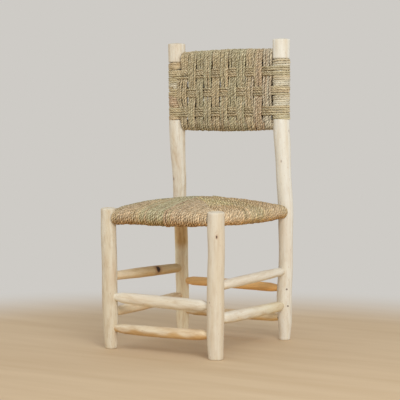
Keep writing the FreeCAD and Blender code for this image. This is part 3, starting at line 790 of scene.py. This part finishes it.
def seatLook(field, above, share):
    # A painted highlight beside the rail, a painted shade under it and warmer over it, each eased by the
    # height above its middle
    looks = seatLooks
    far, beside = looks["bright"]
    bright = far + beside * (1 - easeBetween(np.abs(above), *looks["brightRun"]))
    under = 1 - (1 - np.array(looks["shadeUnder"])) * easeBetween(-above, *looks["underRun"])
    warm = np.array(looks["warmTop"].get(field, (1.0, 1.0, 1.0, 1.0)))
    over = 1 - (1 - warm) * easeBetween(above, *looks["topRun"])
    if field == "right":
        inward = easeBetween(above, *looks["greenRun"]) * (1 - easeBetween(share, *looks["greenShares"]))
        over = over + (np.array(looks["greenTop"]) - warm) * inward
    return np.column_stack([bright, bright, bright, np.ones(len(above))]) * under * over


for number, field in enumerate(seatBands):
    sizes, room = seatSizes, seatSizes["legRoom"]
    run = seatWidth if field in ("front", "back") else seatDepth
    strands = int((run - 2 * room) / sizes["pitch"]) + 1
    skin = Skin()
    for strand, place in enumerate(np.linspace(room, run - room, strands)):
        seed = seedFor(sizes["seeds"], number, strand)
        path, rail = seatStrand(field, place, seed)
        share = strand / (strands - 1)
        jitter = np.random.default_rng(seed + 3).normal(0, sizes["unevenBand"])
        shade = bandColour(seatBands[field], share + jitter)
        shade = shade * (1 + np.random.default_rng(seed + 4).normal(0, sizes["unevenShade"][field]))
        look = seatLook(field, path[:, 2:] - rail, share)
        ropeTube(skin, path, seatSides[field], [shade, shade], seed, look)
    skin.piece("seat_rope_" + field, palmRope, "palm_cord", "seat_weave")
print("seat done")


# The back: the same rope wound upright round both rails in groups, and level round both posts in rows.
backSizes = {
    "groups": 11, "turns": 4, "pitch": 5.3, "backPitch": 5.66,
    "lean": 8.5, "leanRun": 26.0,  # how far the first group spreads over the left post between the rows
    "backShift": -8.0,  # how far the turns behind stand aside of those before
    "shiftEases": (60, 10, 25),  # from the left edge, before the right edge and past it
    "bite": 0.7,  # how far the cord presses into the posts and itself
    "step": 2.7,  # how far warps and wefts swing out of their shared plane
    "warpHold": 8.0, "weftHold": 0.30,  # how far to each side of a crossing, the second as a share of a group
    "warpPoints": 90, "weftPoints": 170,  # of one run
    "unevenDepth": 0.3, "unevenWarp": 0.9, "warpWaves": (470, 260), "unevenWeft": 0.5, "weftWaves": (330, 190),
    "warpTuck": (0.985, 0.012, 0.22), "weftTuck": (0.992, 0.006, 0.15),  # where a cord's ends draw in, how far
    "postRun": (4, 30),  # over which distances from a post's middle the wefts settle into the field
    "rowShares": {"upper": 0.78, "middle": 0.48, "lower": 0.18},
    "rowTurns": 4, "rowPitch": 5.5,
    "wrapLow": 521.0, "wrapHigh": 666.6, "wrapPitch": 5.35, "wrapPoints": 48,
    "unevenWrap": 0.35, "wrapWaves": (170, 90), "wrapTuck": (2.0, 0.10),
    "rightRoom": -3.6,  # from the right post's face to the field
    "seeds": {"warps": (5000, 30), "wefts": (7000, 30), "wraps": (8000, 200, 10)},
}
rowsUp = ("lower", "middle", "upper")
# The cord's look on the panel and on the posts: three shares of light, and how boldly its pattern shows
ropeOn = {
    "panel": np.array([1.06, 1.06, 1.10, 1.1]),
    "left": np.array([0.94, 0.94, 0.98, 0.5]),
    "right": np.array([0.91, 0.95, 1.05, 0.35]),
}
railGap = railSizes["topHeight"] - railSizes["bottomHeight"]
middleLevel = (railSizes["topHeight"] + railSizes["bottomHeight"]) / 2
leftPost, rightPost = poles["back_post_left"], poles["back_post_right"]
fieldLeft = float(leftPost.middle(middleLevel)[0] + leftPost.radius(middleLevel))
fieldRight = float(rightPost.middle(middleLevel)[0] - rightPost.radius(middleLevel)) - backSizes["rightRoom"]
fieldMiddle = (fieldLeft + fieldRight) / 2
groupPitch = (fieldRight - fieldLeft) / backSizes["groups"]
rowLevels = {row: railSizes["bottomHeight"] + share * railGap for row, share in backSizes["rowShares"].items()}
planeY = poleSizes["halfDepth"]


def onPost(post, level):
    # How far from a post's middle the cord lies on it, pressed in by the bite
    return post.core(level) + ropeSizes["girth"] / 2 - backSizes["bite"]


def groupPlace(group):
    # The middle of a group of warps, from the field's left
    return fieldMiddle + (group - (backSizes["groups"] - 1) / 2) * groupPitch


def wovenDepth(x):
    # Depth of the plane that warps and wefts share: half the rail's parabola of girth, and half a rope
    ends, crown = railSizes["girths"][0] / 2, railSizes["girths"][1] / 2
    share = (x - fieldMiddle) / ((fieldRight - fieldLeft) / 2)
    return crown - (crown - ends) * np.clip(share ** 2, 0, 1.3) * 0.8 + ropeSizes["girth"] / 2


def shiftBehind(x):
    # How far the turns behind stand aside, less towards the posts
    first, before, past = backSizes["shiftEases"]
    fromLeft = easeBetween(x, fieldLeft, fieldLeft + first)
    return backSizes["backShift"] * fromLeft * easeBetween(-x, -fieldRight - past, before - fieldRight)


def weftOver(row, group):
    # Whether a row goes over a group: every other one, and the middle row the others
    return (group % 2 == 0) != (row == "middle")


def smoothed(values, width):
    # Each value becomes the mean of those beside it, ends held
    padded = np.concatenate([np.full(width, values[0]), values, np.full(width, values[-1])])
    kernel = np.hanning(2 * width + 3)[1:-1]
    return np.convolve(padded, kernel / kernel.sum(), "same")[width:-width]


def swing(places, first, crossings, hold, last, width):
    # Depth along a cord: none at its two ends, and at each crossing a step before the shared plane where
    # the cord goes over and behind it where it goes under, held to each side of it and smoothed
    stops, depths = [first], [0.0]
    for crossing, over in crossings:
        stops += [crossing - hold, crossing + hold]
        depths += [backSizes["step"] if over else -backSizes["step"]] * 2
    return smoothed(np.interp(places, stops + [last], depths + [0.0]), width)


def warpDepth(group, level):
    # Swings behind each weft row that goes over the group and before each that goes under it
    crossings = [(rowLevels[row], not weftOver(row, group)) for row in rowsUp]
    return swing(level, railSizes["bottomHeight"], crossings, backSizes["warpHold"], railSizes["topHeight"], 5)


def warpPath(group, seed):
    # Up the front, over the top rail, down the back and under the bottom rail, one pitch along in each turn
    sizes = backSizes
    low, high = railSizes["bottomHeight"], railSizes["topHeight"]
    rise = np.linspace(low, high, sizes["warpPoints"])
    woven = warpDepth(group, rise)
    depth = float(wovenDepth(groupPlace(group)))
    rng = np.random.default_rng(seed)
    depths, levels = [], []
    for _ in range(sizes["turns"]):
        own = depth + rng.normal(0, sizes["unevenDepth"])
        depths += [own + woven, own * np.cos(halfTurn), -(own + woven[::-1]), -own * np.cos(halfTurn)]
        levels += [rise, high + own * np.sin(halfTurn), rise[::-1], low - own * np.sin(halfTurn)]
    depths, levels = np.concatenate(depths), np.concatenate(levels)
    share = np.linspace(0, 1, len(depths))
    depths = depths * drawnIn(share, sizes["warpTuck"])
    front = np.clip(0.5 + depths / depth / 2, 0, 1)
    pitch = sizes["backPitch"] + (sizes["pitch"] - sizes["backPitch"]) * front
    x = groupPlace(group) + (share - 0.5) * sizes["turns"] * pitch
    x = x + sizes["unevenWarp"] * wander(share * 1000, sizes["warpWaves"], seed + 1)
    x = x + shiftBehind(x) * (1 - front)
    if group == 0:
        # Its outer turns spread over the cord on the post
        lower, upper, run = rowLevels["lower"], rowLevels["upper"], sizes["leanRun"]
        between = easeBetween(levels, lower, lower + run) * (1 - easeBetween(levels, upper - run, upper))
        x = x - sizes["lean"] * between * (1 - share)
        reach = leftPost.core(levels) + 1.5 * ropeSizes["girth"] - 2 * sizes["bite"]
        over = np.sqrt(np.maximum(reach ** 2 - (x - leftPost.middle(levels)[:, 0]) ** 2, 0)) * between
        depths = np.sign(depths) * np.maximum(np.abs(depths), over)
    # Where a turn would run into a post it goes round it
    for post, way in ((leftPost, 1), (rightPost, -1)):
        reach = post.radius(levels) + ropeSizes["girth"] / 2 - sizes["bite"]
        aside = np.sqrt(np.maximum(reach ** 2 - depths ** 2, 0))
        x = way * np.maximum(way * x, way * post.middle(levels)[:, 0] + aside)
    return np.column_stack([x, planeY - depths, levels])


warpSkins = [Skin(), Skin()]
warpBands = [(0, "straw"), (0.10, "olive"), (0.30, "green"), (0.42, "dry"), (0.5, "olive"), (0.66, "green"),
             (0.8, "straw"), (0.9, "pink"), (1, "pale")]
for group in range(backSizes["groups"]):
    seed = seedFor(backSizes["seeds"]["warps"], group)
    rng = np.random.default_rng(seed)
    share = group / (backSizes["groups"] - 1)
    shades = [bandColour(warpBands, share + rng.normal(0, 0.06)) * (1 + rng.normal(0, 0.08))
              for _ in range(4 * backSizes["turns"] + 1)]
    ropeTube(warpSkins[group % 2], warpPath(group, seed), (1, 0, 0), shades, seed, ropeOn["panel"])
warpSkins[0].piece("back_warps_odd", palmRope, "palm_cord", "back_warps")
warpSkins[1].piece("back_warps_even", palmRope, "palm_cord", "back_warps")


def weftRun(row, x):
    # Swings before each group that the row goes over and behind each that it goes under
    groups, beyond = range(backSizes["groups"]), groupPitch * 0.75
    crossings = [(groupPlace(group), weftOver(row, group)) for group in groups]
    hold = groupPitch * backSizes["weftHold"]
    return swing(x, groupPlace(0) - beyond, crossings, hold, groupPlace(groups[-1]) + beyond, 4)


def weftPath(row, seed):
    # Along the front, round the right post, along the back and round the left post, one pitch up each turn
    sizes = backSizes
    level = rowLevels[row]
    leftX, rightX = (float(post.middle(level)[0]) for post in (leftPost, rightPost))
    leftR, rightR = (float(onPost(post, level)) for post in (leftPost, rightPost))
    x = np.linspace(leftX, rightX, sizes["weftPoints"])
    fromEdge = np.minimum(x - leftX, rightX - x)
    atPost = np.where(x < fieldMiddle, leftR, rightR)
    settled = easeBetween(fromEdge, *sizes["postRun"])
    depth = atPost + (wovenDepth(x) + weftRun(row, x) - atPost) * settled
    behind = atPost + (wovenDepth(x) + weftRun(row, x - shiftBehind(x)) - atPost) * settled
    turn = halfTurn - np.pi / 2
    xs, depths = [], []
    for _ in range(sizes["rowTurns"]):
        xs += [x, rightX + rightR * np.cos(turn), x[::-1], leftX - leftR * np.cos(turn)]
        depths += [depth, -rightR * np.sin(turn), -behind[::-1], leftR * np.sin(turn)]
    xs, depths = np.concatenate(xs), np.concatenate(depths)
    share = np.linspace(0, 1, len(xs))
    z = level + (share - 0.5) * sizes["rowTurns"] * sizes["rowPitch"]
    z = z + sizes["unevenWeft"] * wander(share * 1000, sizes["weftWaves"], seed)
    return np.column_stack([xs, planeY - depths * drawnIn(share, sizes["weftTuck"]), z])


weftSkin = Skin()
weftBands = [(0, "straw"), (0.5, "olive"), (1, "dry")]
for number, row in enumerate(rowLevels):
    seed = seedFor(backSizes["seeds"]["wefts"], number)
    rng = np.random.default_rng(seed)
    shades = [bandColour(weftBands, rng.uniform(0, 1)) * (1 + rng.normal(0, 0.06)) for _ in range(20)]
    path = weftPath(row, seed)
    onLeft = 1 - easeBetween(path[:, :1], fieldLeft - 6, fieldLeft + 12)
    onRight = easeBetween(path[:, :1], fieldRight - 12, fieldRight + 6)
    looks = (1 - onLeft - onRight) * ropeOn["panel"] + onLeft * ropeOn["left"] + onRight * ropeOn["right"]
    ropeTube(weftSkin, path, (0, 0, -1), shades, seed, looks)
weftSkin.piece("back_wefts_rope", palmRope, "palm_cord", "back_wefts")


def wrapPath(pole, low, high, facing, halves, seed):
    # A helix round the pole from one height to the other, in whole turns and some half ones,
    # its ends drawn in against the pole
    turns = max(round((high - low) / backSizes["wrapPitch"]), 1) + halves / 2
    share = np.linspace(0, 1, int(backSizes["wrapPoints"] * turns) + 1)
    level = low + share * (high - low)
    way = facing + fullTurn * turns * share
    reach = onPost(pole, level)
    near = np.minimum(share, 1 - share) * turns
    drawn, stretch = backSizes["wrapTuck"]
    reach = reach - drawn * (1 - easeBetween(near, 0, stretch))
    middle = pole.middle(level)
    level = level + backSizes["unevenWrap"] * wander(way * 20, backSizes["wrapWaves"], seed)
    return np.column_stack([middle[:, 0] + reach * np.cos(way), middle[:, 1] + reach * np.sin(way), level])


wrapBands = {
    "left": [(0, "dry"), (0.18, "straw"), (0.26, "pink"), (0.40, "pink"), (0.46, "olive"), (0.55, "pale"),
             (0.62, "pale"), (0.68, "olive"), (0.85, "straw"), (1, "dry")],
    "right": [(0, "olive"), (0.25, "pale"), (0.45, "straw"), (0.60, "pale"), (0.72, "straw"), (0.88, "pale"),
              (1, "straw")],
}
# Each stretch of winding ends where a weft row's first turn passes, and starts again where its last one does
halfRow = backSizes["rowTurns"] * backSizes["rowPitch"] / 2
for number, (side, pole, facing, lead) in enumerate((("left", leftPost, -np.pi / 2, 0.0),
                                                     ("right", rightPost, np.pi / 2, -0.25))):
    skin = Skin()
    edges = [backSizes["wrapLow"] + ropeSizes["girth"] / 2]
    for row in rowsUp:
        edges += [rowLevels[row] + half + lead * backSizes["rowPitch"] for half in (-halfRow, halfRow)]
    edges.append(backSizes["wrapHigh"] - ropeSizes["girth"] / 2)
    for stretch in range(0, len(edges), 2):
        low, high = edges[stretch], edges[stretch + 1]
        seed = seedFor(backSizes["seeds"]["wraps"], number, stretch)
        shares = (np.linspace(low, high, 12) - edges[0]) / (edges[-1] - edges[0])
        noise = np.random.default_rng(seed).normal(0, 0.05, len(shares))
        shades = [bandColour(wrapBands[side], share) * (1 + step) for share, step in zip(shares, noise)]
        start = facing - (math.pi if stretch == 0 else 0)
        halves = 1 if stretch == 0 or (side == "left" and stretch == len(edges) - 2) else 0
        path = wrapPath(pole, low, high, start, halves, seed)
        ropeTube(skin, path, (0, 0, 1), shades, seed, ropeOn[side])
    skin.piece("post_wrap_" + side + "_rope", palmRope, "palm_cord", "post_wrap_" + side)
print("back done")

# What the CAD carries over: the hidden seat rails and the nails
nailLooks = {"steel": (150, 140, 128), "rust": (128, 92, 66), "scale": 900.0, "spots": (0.45, 0.65),
             "bump": (0.4, 0.0002), "metal": 0.7}
hiddenLooks = {"drawn": 6.0, "scale": 60.0, "grain": (0.35, 0.65), "bump": (0.3, 0.0005)}


def nailFinish():
    # Steel blended towards rust by one noise, which also roughens it
    looks, sheet = nailLooks, newSheet("dull wire nail")
    spots = sheet.noise(sheet.here(), looks["scale"])
    colour = sheet.blend(spots.within(*looks["spots"]), rgba(looks["steel"]), rgba(looks["rust"]))
    metal = {"Metallic": looks["metal"]}
    return sheet.show(sheet.skin(colour, spots * 0.4 + 0.35, (spots, *looks["bump"]), metal))


def hiddenWoodFinish():
    # The pale wood's two colours blended by one drawn-out noise
    looks, sheet = hiddenLooks, newSheet("hidden rail wood")
    grain = sheet.pattern(sheet.here(), looks["drawn"], looks["scale"])
    colour = sheet.blend(grain.within(*looks["grain"]), rgba(woodLooks["pale"]), rgba(woodLooks["warm"]))
    return sheet.show(sheet.skin(colour, 0.6, (grain, *looks["bump"])))


def dress(node, finish):
    # Gives a node of the CAD its finish
    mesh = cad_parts[node].data
    mesh.materials.clear()
    mesh.materials.append(finish)


dress("tenon_nails", nailFinish())
railWood = hiddenWoodFinish()
for side in ("front", "back", "left", "right"):
    dress("seat_rail_" + side, railWood)

# Room: a pale floor that turns into the pale surround with distance, one large soft lamp and a fill
roomLooks = {
    "floor": (214, 190, 156), "floorDeep": (204, 178, 142),
    "surround": (206, 203, 198),
    "floorMiddle": (0.2, -0.4, 0.0),
    "floorEnds": (0.85, 1.5),  # the floor's own colour fades out between these distances from its middle
    "floorReach": 14.0, "floorPoints": 96,
    "ambient": 0.62, "white": (1.0, 0.99, 0.975, 1.0), "aim": (0, 0, 0.35),
}
# Lamps: place, size, power and colour
lamps = {
    "key lamp": ((2.1, -2.0, 1.8), 1.7, 52.0, (0.985, 0.985, 0.97)),
    "fill lamp": ((-2.4, -1.4, 1.4), 1.8, 6.0, (0.97, 0.985, 1.0)),
}
# The camera's place in metres, its pitch and turn in degrees, and its lens and sensor in millimetres
view = {"place": (1.4697, -2.418, 0.481), "pitch": 87.05, "turn": 31.07, "lens": 109.8, "sensor": 36.0}


def makeFloor():
    # A flat disc of one centre and a ring
    reach, around = roomLooks["floorReach"], roomLooks["floorPoints"]
    own = anglesRound(around)
    ring = np.column_stack([reach * np.cos(own), reach * np.sin(own), np.zeros(around)])
    spokes = np.arange(around)
    faces = np.column_stack([np.zeros(around, int), 1 + spokes, 1 + (spokes + 1) % around])
    mesh = bpy.data.meshes.new("floor")
    mesh.from_pydata([(0.0, 0.0, 0.0)] + ring.tolist(), [], faces.tolist())
    sheet = newSheet("pale floor")
    here = sheet.here()
    grain = sheet.noise(sheet.vector("MULTIPLY", here, (0.6, 5.0, 1.0)), 3.0)
    colour = sheet.blend(grain.within(0.3, 0.7), rgba(roomLooks["floor"]), rgba(roomLooks["floorDeep"]))
    wood = sheet.skin(colour, 0.75)
    glow = sheet.node("ShaderNodeEmission", {}, {"Color": rgba(roomLooks["surround"]), "Strength": 1.0})
    away = sheet.vector("DISTANCE", here, roomLooks["floorMiddle"], 1).within(*roomLooks["floorEnds"])
    faded = away * away * (3 - away * 2)
    mesh.materials.append(sheet.show(sheet.node("ShaderNodeMixShader", {}, {0: faded, 1: wood, 2: glow})))
    floor = addObject("floor", mesh)


def makeLamp(name, place, size, power, colour):
    # A round lamp that faces the aim: pitched and turned by the way's two angles
    lamp = bpy.data.lights.new(name, "AREA")
    lamp.shape, lamp.size, lamp.energy, lamp.color = "DISK", size, power, colour
    made = addObject(name, lamp)
    way = np.array(roomLooks["aim"]) - np.array(place)
    flat = math.hypot(way[0], way[1])
    made.location = place
    made.rotation_euler = (math.pi / 2 + math.atan2(way[2], flat), 0, math.atan2(way[1], way[0]) - math.pi / 2)


def makeSurround():
    # What the camera sees is the surround's own colour, and what lights the chair is a soft white
    world = bpy.data.worlds.new("pale room")
    bpy.context.scene.world = world
    sheet = Sheet(world, "ShaderNodeOutputWorld")
    seen = sheet.node("ShaderNodeLightPath", {}, {}, "Is Camera Ray")
    for ray in ("Is Glossy Ray", "Is Transmission Ray"):
        seen = seen.most(sheet.node("ShaderNodeLightPath", {}, {}, ray))
    light = {"Color": roomLooks["white"], "Strength": roomLooks["ambient"]}
    light = sheet.node("ShaderNodeBackground", {}, light)
    wall = {"Color": rgba(roomLooks["surround"]), "Strength": 1.0}
    wall = sheet.node("ShaderNodeBackground", {}, wall)
    sheet.show(sheet.node("ShaderNodeMixShader", {}, {0: seen, 1: light, 2: wall}))


makeFloor()
makeSurround()
for name, lamp in lamps.items():
    makeLamp(name, *lamp)

cameraData = bpy.data.cameras.new("camera")
cameraData.lens, cameraData.sensor_width = view["lens"], view["sensor"]
camera = addObject("camera", cameraData)
camera.location = view["place"]
camera.rotation_euler = (math.radians(view["pitch"]), 0, math.radians(view["turn"]))
bpy.context.scene.camera = camera
bpy.context.scene.view_settings.view_transform = "Standard"
